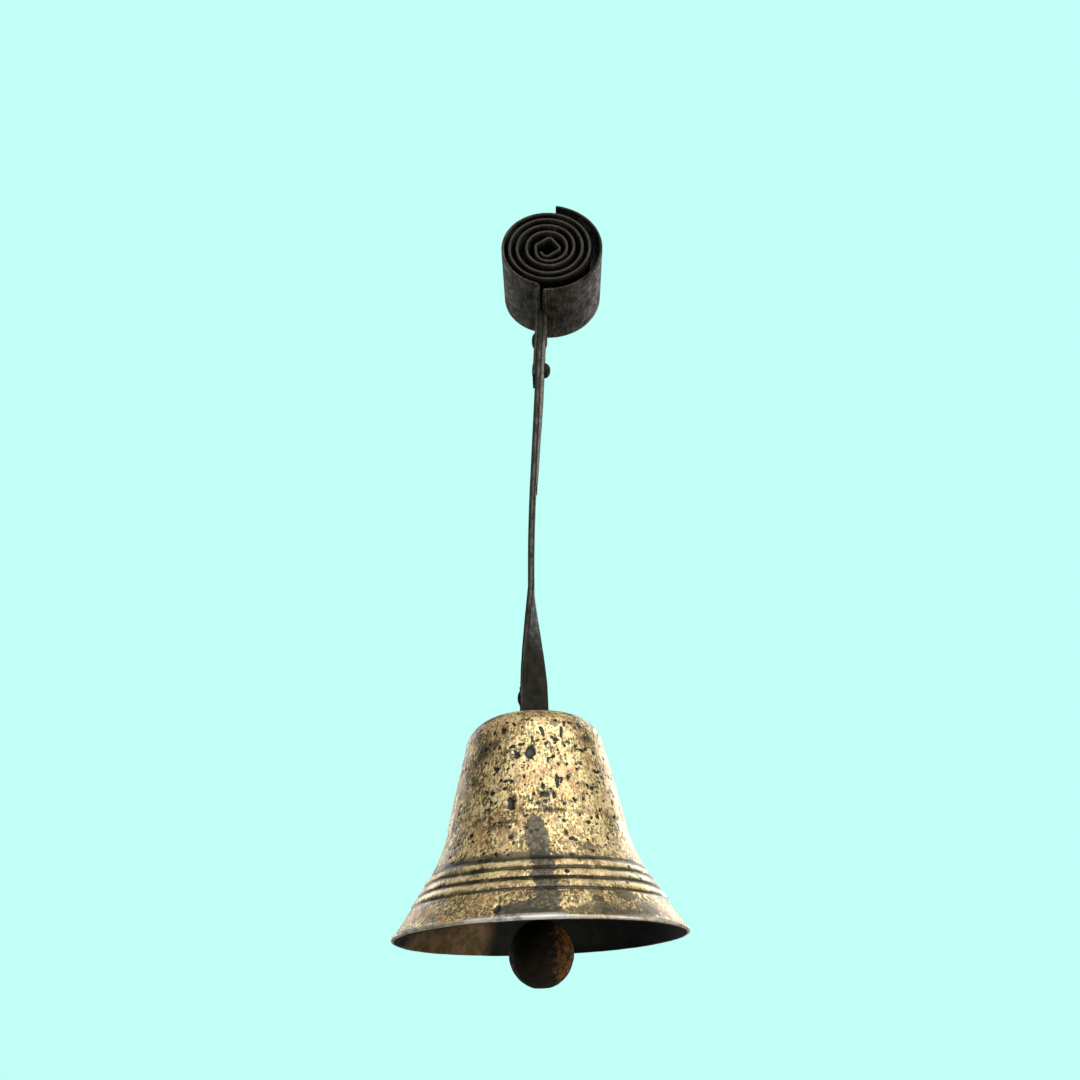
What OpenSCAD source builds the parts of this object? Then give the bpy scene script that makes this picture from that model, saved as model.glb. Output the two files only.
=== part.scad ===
// Servants' call bell: a cast bell on a twisted iron arm, hung from a coiled flat spring.
// Frame: origin at the centre of the coil's square eye, Y along the coil's axis, Z up.
// The viewer's side is -Y. All sizes are in millimetres.

/* [Coil spring] */
// Width of the spring strip, along the coil's axis
strip_w = 34; // [26:1:40]
// Thickness of the spring strip
strip_t = 1.2; // [0.9:0.1:1.4]
// Half the width across flats of the square eye
eye_half = 3.6; // [3.4:0.1:3.8]
// Turn of the square eye about the coil's axis
eye_turn = -12; // [-20:1:0]
// Radius of the strip's centreline where the round turns begin
ring_r = 8.6; // [8.5:0.1:8.9]
// Growth of the radius in one turn
pitch = 3.3; // [3.1:0.1:3.5]

/* [Keeper leaf] */
// Radius of the leaf's centreline round the coil
keeper_r = 23.4; // [23:0.1:24.5]
// Angle of the leaf's free tip, from +X towards +Z
keeper_tip = 79; // [40:1:95]
// Length of leaf that lies along the arm below the lap
keeper_tail = 64; // [30:1:80]

/* [Arm] */
// Width of the arm strap
arm_w = 11; // [10:0.5:13]
// Thickness of the arm strap
arm_t = 2.4; // [2:0.1:3]
// Twist of the strap between the coil and the bell
arm_twist = 58; // [40:1:70]
// Lean of the upper half of the arm, from the vertical
arm_lean = 4.15; // [3:0.05:5]

/* [Bell] */
// Diameter of the mouth
mouth_d = 100; // [96:1:104]
// Height from the mouth to the flat of the crown
bell_h = 75.2; // [72:0.1:78]
// Drop from the eye's centre to the mouth
bell_drop = 285.2; // [280:0.1:290]
// Distance of the bell's axis to the left of the eye's centre
bell_off = 13; // [12.5:0.1:13.5]
// Wall thickness, measured level
wall_t = 2.8; // [2.4:0.1:3.2]
// Height that each bead stands out of the skirt
bead_h = 0.7; // [0.4:0.1:0.9]

/* [Clapper] */
// Radius of the clapper ball
ball_r = 11; // [9:0.5:11.5]
// Depth of the ball's centre below the mouth
ball_drop = 4.5; // [3:0.5:6]
// Radius of the clapper's rod
rod_r = 2.6; // [2.2:0.1:2.8]

/* [Hidden] */

iron = [0.17, 0.16, 0.15];
spring_steel = [0.26, 0.24, 0.21];
brass = [0.66, 0.55, 0.36];
rust = [0.30, 0.15, 0.07];
leather = [0.24, 0.15, 0.09];

gap = 0.03;              // play left between faces that lie together
round_fn = 64;

// ---- places, in the coil's frame ----
mouth_z = -bell_drop;
function up(h) = mouth_z + h;                 // height above the mouth
crown_z = up(bell_h);

// ---- the lap where spring, arm and leaf are riveted together ----
lap_z = -48.2;           // level at which the arm's place is given
lap_x = -5.6;
lean = tan(arm_lean);
rivet_up = 10;           // upper rivet, above lap_z
rivet_down = -5.6;       // lower rivet, below lap_z
arm_top = lap_z + 23.2;
spring_tail_end = lap_z - 11;

// ---- the arm's centreline ----
// Plumb below bend_lo, leaning above bend_hi, and a parabola in between.
bend_len = 60;
plumb_x = -bell_off + 0.5;
bend_mid = lap_z - (lap_x - plumb_x) / lean;
bend_lo = bend_mid - bend_len / 2;
bend_hi = bend_mid + bend_len / 2;
function arm_x(z) =
    z <= bend_lo ? plumb_x
    : z >= bend_hi ? lap_x + lean * (z - lap_z)
    : plumb_x + lean * pow(z - bend_lo, 2) / (2 * bend_len);

// ---- curves shared by the strips ----
function smooth(t) = let (u = min(1, max(0, t))) u * u * (3 - 2 * u);
function arc_points(c, r, a0, a1, n) =
    [for (i = [0:n]) let (a = a0 + (a1 - a0) * i / n) [c[0] + r * cos(a), c[1] + r * sin(a)]];
function unit(v) = v / norm(v);
function left_of(v) = [-v[1], v[0]];
function tangent(p, i) = unit(p[min(i + 1, len(p) - 1)] - p[max(i - 1, 0)]);

// A closed outline of thickness t round the centreline p, thinned by the factors f.
function ribbon(p, t, f) = concat(
    [for (i = [0:len(p) - 1]) p[i] + left_of(tangent(p, i)) * t / 2 * f[i]],
    [for (i = [len(p) - 1:-1:0]) p[i] - left_of(tangent(p, i)) * t / 2 * f[i]]);

// Stands an outline drawn in X and Z upright and gives it the strip's width.
module across(w) { rotate([90, 0, 0]) linear_extrude(w, center = true) children(); }

// Outline, in Y and Z, of a strip that is full width at the coil and narrow down the arm.
taper_hi = -23.9;
taper_lo = -25.4;
module strip_side() {
    reach = 40;
    rotate([90, 0, 90]) linear_extrude(4 * reach, center = true) polygon([
        [-strip_w / 2, reach], [-strip_w / 2, taper_hi], [-arm_w / 2, taper_lo],
        [-arm_w / 2, -200], [arm_w / 2, -200], [arm_w / 2, taper_lo],
        [strip_w / 2, taper_hi], [strip_w / 2, reach]]);
}

// ---- the coil ----
eye_side = eye_half + strip_t / 2;
corner_r = eye_side * 1.26;                   // corners of the eye are rounded to this radius
eye_start = -140;                             // angle of the strip's inner end
square_end = 150;
rings_begin = 257;
function square_r(a) = let (d = (((a - eye_turn) % 90) + 90) % 90 - 45)
    min(eye_side / cos(d), corner_r);
function spiral_r(a) = ring_r + pitch * (a - 360) / 360;
function coil_r(a) = let (s = smooth((a - square_end) / (rings_begin - square_end)))
    (1 - s) * square_r(a) + s * spiral_r(a);

turns_deg = 4 * 360;                          // whole turns outside the eye
tail_bend_r = 2.2;                            // bend from the last turn down into the tail
tail_q = (arm_t + strip_t) / 2 + gap;         // tail's centre, from the arm's centre
pinch_q = strip_t / 2 + 0.45;                 // the same above the arm, where tail and leaf close in
pinch_z = -24.9;                              // they begin to part for the arm at this level
spread_z = -28.2;                             // and lie full apart below this one
normal_a = -arm_lean;
lap_n = lap_x * cos(normal_a) + lap_z * sin(normal_a);
last_r = spiral_r(turns_deg + 248);
coil_end = turns_deg + 360 + normal_a
    - acos((lap_n - pinch_q - tail_bend_r) / (last_r + tail_bend_r));
coil_end_r = spiral_r(coil_end);
tail_c = (coil_end_r + tail_bend_r) * [cos(coil_end), sin(coil_end)];
function tail_x(z, q) = arm_x(z) + q / cos(arm_lean);

coil_step = 6;
spring_path = concat(
    [for (a = [eye_start:coil_step:coil_end - 1]) coil_r(a) * [cos(a), sin(a)]],
    arc_points(tail_c, tail_bend_r, coil_end - turns_deg - 180, normal_a, 8),
    [[tail_x(pinch_z, -pinch_q), pinch_z]],
    [for (z = [spread_z, spring_tail_end]) [tail_x(z, -tail_q), z]]);

module rivet_hole(dz, r) {
    z = lap_z + dz;
    translate([arm_x(z), 0, z]) rotate([0, 90 + arm_lean, 0])
        cylinder(h = 30, r = r, center = true, $fn = round_fn);
}

lap_rivet_r = 2.2;
lap_hole_r = lap_rivet_r + 0.05;

module coil_spring() {
    color(spring_steel) difference() {
        intersection() {
            across(strip_w) polygon(ribbon(spring_path, strip_t, [for (p = spring_path) 1]));
            strip_side();
        }
        lap_holes();
    }
}

module lap_holes() {
    rivet_hole(rivet_up, lap_hole_r);
    rivet_hole(rivet_down, lap_hole_r);
}

// ---- the keeper leaf ----
keeper_bend_r = 1.4;
keeper_a = normal_a - acos((lap_n + pinch_q + keeper_bend_r) / (keeper_r + keeper_bend_r));
keeper_c = (keeper_r + keeper_bend_r) * [cos(keeper_a), sin(keeper_a)];
keeper_end = lap_z - keeper_tail;
thin_from = lap_z - 20;                       // the leaf is drawn out thin below this level
function leaf_factor(z) = z > thin_from ? 1 : 1 - 0.75 * (thin_from - z) / (thin_from - keeper_end);
function leaf_q(z) = arm_t / 2 + gap + strip_t / 2 * leaf_factor(z);
keeper_tail_path = [for (i = [0:12])
    let (z = keeper_end + (spread_z - keeper_end) * i / 12)
    [tail_x(z, leaf_q(z)), z]];
keeper_loop = concat(
    arc_points(keeper_c, keeper_bend_r, 180 + normal_a, 180 + keeper_a, 6),
    arc_points([0, 0], keeper_r, keeper_a + 3, keeper_tip, 46));
keeper_path = concat(keeper_tail_path, keeper_loop);
keeper_factors = concat([for (p = keeper_tail_path) leaf_factor(p[1])],
                        [for (p = keeper_loop) 1]);

module keeper_leaf() {
    color(spring_steel) difference() {
        intersection() {
            across(strip_w) polygon(ribbon(keeper_path, strip_t, keeper_factors));
            strip_side();
        }
        lap_holes();
    }
}

// ---- the arm ----
twist_hi = up(128);
twist_lo = up(89.5);
arm_bottom = up(78.6);
function twist_at(z) = z >= twist_hi ? 0
    : arm_twist * pow(min(1, (twist_hi - z) / (twist_hi - twist_lo)), 1.12);
edge_round = 0.35;                            // chamfer along the strap's four edges
function strap_section(w, t) = let (a = t / 2, b = w / 2, c = edge_round)
    [[a, -b + c], [a, b - c], [a - c, b], [-a + c, b],
     [-a, b - c], [-a, -b + c], [-a + c, -b], [a - c, -b]];
// Levels of the rings: close together in the twist and in the bend, none needed on straights.
arm_levels = concat(
    [arm_bottom],
    [for (i = [0:22]) twist_lo + (twist_hi - twist_lo) * i / 22],
    [for (i = [1:8]) twist_hi + (bend_hi - twist_hi) * i / 8],
    [spread_z, arm_top]);
// The arm's top end is drawn out to a wedge, which fits between tail and leaf.
wedge_t = 2 * (pinch_q - strip_t / 2 - gap);
function arm_thick(z) = z <= spread_z ? arm_t
    : arm_t + (wedge_t - arm_t) * (z - spread_z) / (arm_top - spread_z);
function arm_ring(z) = let (a = -twist_at(z))
    [for (p = strap_section(arm_w, arm_thick(z)))
        [arm_x(z) + p[0] * cos(a) - p[1] * sin(a), p[0] * sin(a) + p[1] * cos(a), z]];

// Joins rings of equal count into one closed solid.
module skin(rings) {
    n = len(rings[0]);
    m = len(rings);
    points = [for (r = rings) for (p = r) p];
    walls = [for (j = [0:m - 2]) for (i = [0:n - 1]) let (k = (i + 1) % n)
        each [[j * n + i, (j + 1) * n + i, j * n + k],
              [j * n + k, (j + 1) * n + i, (j + 1) * n + k]]];
    bottom = [[for (i = [0:n - 1]) i]];
    top = [[for (i = [n - 1:-1:0]) (m - 1) * n + i]];
    polyhedron(points, concat(walls, bottom, top));
}

hanger_rivet_z = up(84.8);
hanger_rivet_r = 2.5;

// Places children at the lower rivet, with +X out of the strap's front face.
module at_hanger_rivet() {
    translate([plumb_x, 0, hanger_rivet_z]) rotate([0, 0, -arm_twist]) children();
}

module arm_strap() {
    color(iron) difference() {
        skin([for (z = arm_levels) arm_ring(z)]);
        lap_holes();
        at_hanger_rivet() {
            rotate([0, 90, 0]) cylinder(h = 8, r = hanger_rivet_r + 0.05, center = true, $fn = round_fn);
            translate([arm_t / 2 - sink_h, 0, 0]) rotate([0, 90, 0])
                cylinder(h = sink_h + 0.01, r1 = hanger_rivet_r + 0.05, r2 = sink_r + 0.05, $fn = round_fn);
        }
    }
}

// ---- rivets ----
sink_h = 1.1;                                 // countersink in the strap's front face
sink_r = 3.7;
// A head like a low dome: a slice of a ball, base radius r, height h, rising along +Z.
module dome(r, h) {
    ball = (r * r + h * h) / (2 * h);
    intersection() {
        translate([0, 0, h - ball]) sphere(ball, $fn = round_fn);
        cylinder(h = h, r = r + 1, $fn = round_fn);
    }
}

// Rivet through the lap: heads of the given radius and height on the +X and -X sides.
stack_half = arm_t / 2 + strip_t + 2 * gap;
module lap_rivet(dz, right_head, left_head) {
    z = lap_z + dz;
    translate([arm_x(z), 0, z]) rotate([0, 90 + arm_lean, 0]) {
        cylinder(h = 2 * stack_half, r = lap_rivet_r, center = true, $fn = round_fn);
        translate([0, 0, stack_half]) dome(right_head[0], right_head[1]);
        translate([0, 0, -stack_half]) rotate([180, 0, 0]) dome(left_head[0], left_head[1]);
    }
}

module upper_rivet() { color(iron) lap_rivet(rivet_up, [3, 0.7], [3.3, 1.3]); }
module lower_rivet() { color(iron) lap_rivet(rivet_down, [3.3, 2.6], [2.9, 0.5]); }

tang_t = 2.4;
tang_w = 9;
back_head_r = 5;
back_head_h = 1.9;
tang_back = arm_t / 2 + 2 * gap + tang_t;
module hanger_rivet() {
    color(iron) at_hanger_rivet() {
        rotate([0, -90, 0]) translate([0, 0, -arm_t / 2 + sink_h])
            cylinder(h = tang_back + gap + arm_t / 2 - sink_h, r = hanger_rivet_r, $fn = round_fn);
        translate([arm_t / 2 - sink_h, 0, 0]) rotate([0, 90, 0])
            cylinder(h = sink_h, r1 = hanger_rivet_r, r2 = sink_r, $fn = round_fn);
        translate([-tang_back - gap, 0, 0]) rotate([0, -90, 0]) dome(back_head_r, back_head_h);
    }
}

// ---- crown fittings ----
washer_r = 9;
leather_t = 1.5;
iron_washer_t = 1.5;
crown_t = 3.5;
shank_r = 3.95;
collar_r = 6;
collar_t = 1.5;
collar_z = crown_z + leather_t + gap;
tang_top = twist_lo;
pivot_z = up(54.5);
eye_flat = 4;                                 // thickness of the flattened end, along Y
pivot_hole_r = 2.06;
washer_z = crown_z - crown_t - iron_washer_t - gap;
nut_h = 6;
nut_z = washer_z - nut_h - gap;
shank_end = nut_z - 2.5;

module on_bell_axis() { translate([-bell_off, 0, 0]) children(); }

module crown_hanger() {
    color(iron) difference() {
        union() {
            on_bell_axis() {
                translate([0, 0, shank_end]) cylinder(h = collar_z - shank_end, r = shank_r, $fn = round_fn);
                translate([0, 0, collar_z]) cylinder(h = collar_t, r = collar_r, $fn = round_fn);
                translate([-shank_r, -eye_flat / 2, pivot_z])
                    cube([2 * shank_r, eye_flat, shank_end - pivot_z + 0.5]);
                translate([0, 0, pivot_z]) rotate([90, 0, 0])
                    cylinder(h = eye_flat, r = shank_r, center = true, $fn = round_fn);
            }
            translate([plumb_x, 0, 0]) rotate([0, 0, -arm_twist])
                translate([-arm_t / 2 - gap - tang_t, -tang_w / 2, collar_z + collar_t - 0.5])
                    cube([tang_t, tang_w, tang_top - collar_z - collar_t + 0.5]);
        }
        on_bell_axis() translate([0, 0, pivot_z]) rotate([90, 0, 0])
            cylinder(h = 20, r = pivot_hole_r, center = true, $fn = round_fn);
        at_hanger_rivet() rotate([0, 90, 0])
            cylinder(h = 20, r = hanger_rivet_r + 0.05, center = true, $fn = round_fn);
    }
}

module ring(r, hole, h) {
    difference() {
        cylinder(h = h, r = r, $fn = round_fn);
        translate([0, 0, -1]) cylinder(h = h + 2, r = hole, $fn = round_fn);
    }
}

module leather_washer() {
    color(leather) on_bell_axis() translate([0, 0, crown_z + gap / 2]) ring(washer_r, 4.3, leather_t);
}

module iron_washer() {
    color(iron) on_bell_axis() translate([0, 0, washer_z]) ring(washer_r, 4.2, iron_washer_t);
}

nut_flats = 13;
module hanger_nut() {
    color(iron) on_bell_axis() translate([0, 0, nut_z]) difference() {
        translate([-nut_flats / 2, -nut_flats / 2, 0]) cube([nut_flats, nut_flats, nut_h]);
        translate([0, 0, -1]) cylinder(h = nut_h + 2, r = shank_r + 0.04, $fn = round_fn);
    }
}

// ---- the bell ----
// Outside: a straight skirt and a straight waist, joined by a large arc, and a round shoulder.
skirt_slope = 0.646;
waist_slope = 0.222;
meet_h = 24.8;                                // height where skirt and waist lines would meet
waist_arc = 11.7;                             // length of each line that the large arc takes away
mouth_r = mouth_d / 2;
shoulder_r = 12;
hole_r = 4.3;

function skirt_r(h, inset) = mouth_r - inset - skirt_slope * h;
function waist_r(h, inset) = skirt_r(meet_h, inset) - waist_slope * (h - meet_h);
function in_arc(h) = (h - (meet_h - waist_arc * cos(atan(skirt_slope))))
    / (waist_arc * (cos(atan(skirt_slope)) + cos(atan(waist_slope))));
// The parabola that leaves the skirt and joins the waist with no corner.
function wall_r(h, inset) = let (s = in_arc(h))
    s <= 0 ? skirt_r(h, inset)
    : s >= 1 ? waist_r(h, inset)
    : skirt_r(h, inset) + (skirt_slope - waist_slope) * pow(s, 2) / 2
        * waist_arc * (cos(atan(skirt_slope)) + cos(atan(waist_slope)));

bead_edges = [10.0, 13.5, 16.9, 20.3];        // heights of the grooves between the three beads
function bead(h) = h <= bead_edges[0] || h >= bead_edges[3] ? 0
    : let (i = h < bead_edges[1] ? 0 : h < bead_edges[2] ? 1 : 2,
           s = (h - bead_edges[i]) / (bead_edges[i + 1] - bead_edges[i]))
      bead_h * (1.25 * sqrt(max(0, 1 - pow(2 * s - 1, 2))) - 0.25);

// Shoulder arc between a wall of the given inset and the flat at height top.
function shoulder(inset, top, r) =
    let (a = atan(waist_slope), corner = waist_r(top, inset), cut = r * tan((90 - a) / 2),
         c = [corner - cut, top - r])
    arc_points(c, r, a, 90, 12);

lip_round = 0.8;
bead_steps = 8;
bead_heights = [for (i = [0:2]) for (j = [0:bead_steps - 1])
    bead_edges[i] + (bead_edges[i + 1] - bead_edges[i]) * j / bead_steps];
outside = concat(
    arc_points([mouth_r - lip_round, lip_round], lip_round, -90, 25, 6),
    [[wall_r(5, 0), 5]],
    [for (h = bead_heights) [wall_r(h, 0) + bead(h), h]],
    [for (h = [bead_edges[3]:2.2:38]) [wall_r(h, 0), h]],
    shoulder(0, bell_h, shoulder_r));
inside_top = bell_h - crown_t;
inside = concat(
    [[mouth_r - wall_t - 0.4, 0]],
    [for (h = [1, 7, 13, 15.2, 17.4, 19.6, 21.8, 24, 26.2, 28.4, 30.6, 32.8, 35, 38]) [wall_r(h, wall_t), h]],
    shoulder(wall_t, inside_top, shoulder_r - 2));

module bell_shell() {
    profile = concat(outside, [[hole_r, bell_h], [hole_r, inside_top]],
                     [for (i = [len(inside) - 1:-1:0]) inside[i]]);
    color(brass) on_bell_axis() translate([0, 0, mouth_z])
        rotate_extrude($fn = 120) polygon(profile);
}

// ---- the clapper ----
ball_z = up(-ball_drop);
cheek_t = 1.9;
cheek_in = eye_flat / 2 + 0.3;                // inner face of each cheek
cheek_r = 4;
bridge_top = pivot_z - 4.5;
bridge_h = 4.5;
pin_r = 2;
seat_h = 1.2;                                 // countersink under the ball, filled by the rod's end
seat_r = 3.4;
rod_end = ball_z - sqrt(ball_r * ball_r - seat_r * seat_r) + 0.05;
stop_r = 4;                                   // collar on the rod that bears on the ball's top
stop_z = ball_z + ball_r - 0.2;

module clapper_stem() {
    fork_y = cheek_in + cheek_t;
    color(rust) on_bell_axis() difference() {
        union() {
            for (side = [-1, 1]) translate([0, side * (cheek_in + cheek_t / 2), 0]) {
                translate([0, 0, pivot_z]) rotate([90, 0, 0])
                    cylinder(h = cheek_t, r = cheek_r, center = true, $fn = round_fn);
                translate([-cheek_r, -cheek_t / 2, bridge_top - bridge_h])
                    cube([2 * cheek_r, cheek_t, pivot_z - bridge_top + bridge_h]);
            }
            translate([-cheek_r, -fork_y, bridge_top - bridge_h]) cube([2 * cheek_r, 2 * fork_y, bridge_h]);
            translate([0, 0, rod_end + seat_h])
                cylinder(h = bridge_top - bridge_h - rod_end - seat_h + 0.5, r = rod_r, $fn = round_fn);
            translate([0, 0, rod_end]) cylinder(h = seat_h, r1 = seat_r, r2 = rod_r, $fn = round_fn);
            translate([0, 0, stop_z]) cylinder(h = 2, r = stop_r, $fn = round_fn);
        }
        translate([0, 0, pivot_z]) rotate([90, 0, 0])
            cylinder(h = 20, r = pin_r + gap, center = true, $fn = round_fn);
    }
}

module clapper_pin() {
    end_y = cheek_in + cheek_t;
    color(rust) on_bell_axis() translate([0, 0, pivot_z]) rotate([90, 0, 0]) {
        cylinder(h = 2 * end_y, r = pin_r, center = true, $fn = round_fn);
        for (side = [0, 180]) rotate([side, 0, 0]) translate([0, 0, end_y]) dome(2.9, 0.9);
    }
}

module clapper_ball() {
    color(rust) on_bell_axis() difference() {
        translate([0, 0, ball_z]) sphere(ball_r, $fn = 96);
        translate([0, 0, ball_z - 2 * ball_r]) cylinder(h = 4 * ball_r, r = rod_r + gap, $fn = round_fn);
        translate([0, 0, rod_end - 1]) cylinder(h = 1 + gap, r = seat_r + gap, $fn = round_fn);
        translate([0, 0, rod_end]) cylinder(h = seat_h, r1 = seat_r + gap, r2 = rod_r + gap, $fn = round_fn);
    }
}

coil_spring();
keeper_leaf();
arm_strap();
upper_rivet();
lower_rivet();
crown_hanger();
hanger_rivet();
leather_washer();
bell_shell();
iron_washer();
hanger_nut();
clapper_stem();
clapper_pin();
clapper_ball();
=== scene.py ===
import math

import bmesh
import bpy
import numpy as np
from mathutils import Matrix, Vector


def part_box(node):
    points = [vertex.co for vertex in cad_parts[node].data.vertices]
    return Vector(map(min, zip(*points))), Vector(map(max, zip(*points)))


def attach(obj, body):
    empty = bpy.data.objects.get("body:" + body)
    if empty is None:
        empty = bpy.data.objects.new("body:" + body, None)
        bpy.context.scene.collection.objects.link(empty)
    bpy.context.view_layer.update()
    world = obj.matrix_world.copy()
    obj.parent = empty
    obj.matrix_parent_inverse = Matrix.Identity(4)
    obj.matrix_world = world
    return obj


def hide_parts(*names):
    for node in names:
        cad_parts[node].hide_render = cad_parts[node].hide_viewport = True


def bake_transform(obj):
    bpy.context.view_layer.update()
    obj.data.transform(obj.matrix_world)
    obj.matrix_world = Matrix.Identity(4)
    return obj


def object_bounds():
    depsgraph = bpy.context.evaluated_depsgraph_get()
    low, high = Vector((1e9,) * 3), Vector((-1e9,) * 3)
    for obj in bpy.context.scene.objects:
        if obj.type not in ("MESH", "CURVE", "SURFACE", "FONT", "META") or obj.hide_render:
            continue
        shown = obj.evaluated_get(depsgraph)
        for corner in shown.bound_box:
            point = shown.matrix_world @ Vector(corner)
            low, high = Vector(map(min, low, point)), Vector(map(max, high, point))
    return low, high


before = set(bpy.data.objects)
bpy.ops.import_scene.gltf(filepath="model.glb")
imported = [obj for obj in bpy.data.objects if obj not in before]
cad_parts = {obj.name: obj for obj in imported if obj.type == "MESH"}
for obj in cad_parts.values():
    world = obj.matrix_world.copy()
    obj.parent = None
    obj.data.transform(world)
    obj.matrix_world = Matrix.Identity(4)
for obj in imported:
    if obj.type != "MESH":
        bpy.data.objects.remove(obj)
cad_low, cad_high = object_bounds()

# A servants' call bell seen from below: cast brass bell, iron clapper, twisted iron arm and coiled
# flat spring. Lengths in this script are millimetres in the row frame, and become metres in build().
METRE = 0.001


# ---- places read from the frame

def low(node):
    return np.array(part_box(node)[0]) / METRE


def high(node):
    return np.array(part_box(node)[1]) / METRE


def middle(node):
    return (low(node) + high(node)) / 2


BELL_X = middle("bell_shell")[0]
MOUTH_Z = low("bell_shell")[2]
CROWN_Z = high("bell_shell")[2]
MOUTH_R = (high("bell_shell")[0] - low("bell_shell")[0]) / 2
STRIP_HALF = high("coil_spring")[1]  # half the width of the spring strip
ARM_HALF = 5.5  # half the width of the arm strap


def up(height):
    """The level that is this high above the bell's mouth."""
    return MOUTH_Z + height


# ---- repeatable noise

def lattice(x, y, z, seed):
    """A fixed number from -1 to 1 for each point of a whole-number lattice."""
    n = (x * 374761393 + y * 668265263 + z * 1274126177 + seed * 974634777) & 0xFFFFFFFF
    n = ((n ^ (n >> 13)) * 1103515245) & 0xFFFFFFFF
    return ((n ^ (n >> 16)) & 0xFFFF) / 32767.5 - 1


def noise(points, size, seed):
    """Smooth noise from -1 to 1 with features of this size, at an array of points."""
    p = points / size
    cell = np.floor(p).astype(np.int64)
    f = p - cell
    f = f * f * (3 - 2 * f)
    total = np.zeros(len(p))
    for dx in (0, 1):
        for dy in (0, 1):
            for dz in (0, 1):
                weight = (np.where(dx, f[:, 0], 1 - f[:, 0]) * np.where(dy, f[:, 1], 1 - f[:, 1])
                          * np.where(dz, f[:, 2], 1 - f[:, 2]))
                total += weight * lattice(cell[:, 0] + dx, cell[:, 1] + dy, cell[:, 2] + dz, seed)
    return total


def fractal(points, size, octaves, seed):
    """Noise with finer and weaker noise added to it."""
    return sum(noise(points, size / 2 ** k, seed + k) / 2 ** k for k in range(octaves))


def smooth(value, start, end):
    """0 before start, 1 after end, and an even curve between them."""
    t = np.clip((value - start) / (end - start), 0, 1)
    return t * t * (3 - 2 * t)


# ---- mesh helpers

def build(name, points, faces, body, node, material, layers=None, blend=None):
    """Makes a piece from points in millimetres. It stands for a CAD node and moves with a body, but when
    blend is given it stays fixed in place instead.
    layers are named values, one per point, that the materials read."""
    mesh = bpy.data.meshes.new(name)
    mesh.from_pydata((points * METRE).tolist(), [], faces)
    for layer, values in (layers or {}).items():
        attribute = mesh.attributes.new(layer, "FLOAT", "POINT")
        attribute.data.foreach_set("value", np.asarray(values, np.float32))
    work = bmesh.new()
    work.from_mesh(mesh)
    bmesh.ops.recalc_face_normals(work, faces=work.faces)
    work.to_mesh(mesh)
    work.free()
    mesh.polygons.foreach_set("use_smooth", [True] * len(mesh.polygons))
    mesh.set_sharp_from_angle(angle=math.radians(50))
    piece = bpy.data.objects.new(name, mesh)
    bpy.context.scene.collection.objects.link(piece)
    mesh.materials.append(material)
    if blend:
        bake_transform(piece)
    else:
        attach(piece, body)
    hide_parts(node)


def skin(rings, loop=False):
    """Points and faces of a surface over rings of equal count, with a face over each end, or joined
    end to end in a loop."""
    count, total = len(rings[0]), len(rings)
    faces = []
    for j in range(total if loop else total - 1):
        a, b = j * count, (j + 1) % total * count
        for i in range(count):
            k = (i + 1) % count
            faces.append((a + i, a + k, b + k, b + i))
    if not loop:
        faces.append(tuple(range(count - 1, -1, -1)))
        faces.append(tuple((total - 1) * count + i for i in range(count)))
    return np.concatenate(rings), faces


def lathe(profile, segments):
    """Points and faces of a profile of (radius, level) turned about the Z axis. Its ends lie on the
    axis, and are closed with fans."""
    angles = np.arange(segments) * 2 * math.pi / segments
    points = [(0, 0, profile[0][1])]
    for radius, level in profile[1:-1]:
        points.extend((radius * math.cos(a), radius * math.sin(a), level) for a in angles)
    points.append((0, 0, profile[-1][1]))
    around = [(i, (i + 1) % segments) for i in range(segments)]
    last, foot = len(points) - 1, len(points) - 1 - segments
    faces = [(0, 1 + i, 1 + k) for i, k in around]
    for a in range(1, foot, segments):
        faces += [(a + i, a + k, a + segments + k, a + segments + i) for i, k in around]
    return np.array(points, float), faces + [(foot + i, foot + k, last) for i, k in around]


def resample(path, step):
    """The same path with points about one step apart, and how far along it each of them is."""
    run = np.concatenate([[0], np.cumsum(np.linalg.norm(np.diff(path, axis=0), axis=1))])
    count = max(2, int(run[-1] / step) + 1)
    even = np.linspace(0, run[-1], count)
    return np.stack([np.interp(even, run, path[:, k]) for k in range(path.shape[1])], 1), even


def arc(centre, radius, start, end, count):
    """Points on a circle, from one angle in degrees to another."""
    a = np.radians(np.linspace(start, end, count))
    return np.stack([centre[0] + radius * np.cos(a), centre[1] + radius * np.sin(a)], 1)


def place(points, matrix):
    """Points moved by a 4x4 matrix."""
    m = np.array(matrix)
    return points @ m[:3, :3].T + m[:3, 3]


# ---- materials

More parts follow.
